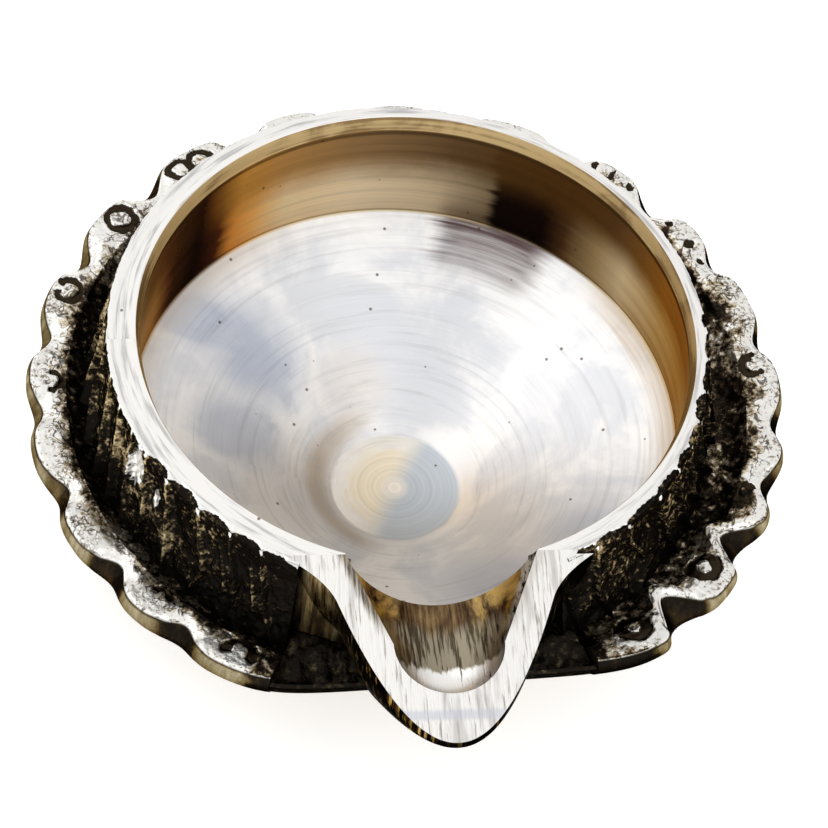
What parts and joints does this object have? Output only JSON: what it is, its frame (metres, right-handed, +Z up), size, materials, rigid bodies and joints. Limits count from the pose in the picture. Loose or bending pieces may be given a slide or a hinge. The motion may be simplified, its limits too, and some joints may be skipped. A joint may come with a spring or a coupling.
{
  "type": "butter lamp",
  "caption": "Low round cast brass oil or butter lamp: turned dished bowl with a wick spout, band of leaf relief, scalloped flange and flat foot",
  "frame": {"origin": "on the bowl's turned axis, at the plane the flat foot stands on", "axes": "+Z up along the bowl's axis; the spout points to -Y; +X is to the right seen from the spout's side"},
  "size_m": [0.0827, 0.0914, 0.031],
  "materials": {
    "turned_brass": "lathe-turned and polished, fine concentric tool marks",
    "filed_brass": "filed, fine straight scratches",
    "dark_brass": "as cast, black patina in the hollows with the high points rubbed bright",
    "worn_brass": "buffed on top, pitted, with dark patina towards the valley"
  },
  "bodies": {
    "root": {"bowl": "turned_brass", "spout": "filed_brass", "leaf_band": "dark_brass", "flange": "worn_brass", "foot": "filed_brass"}
  },
  "joints": []
}
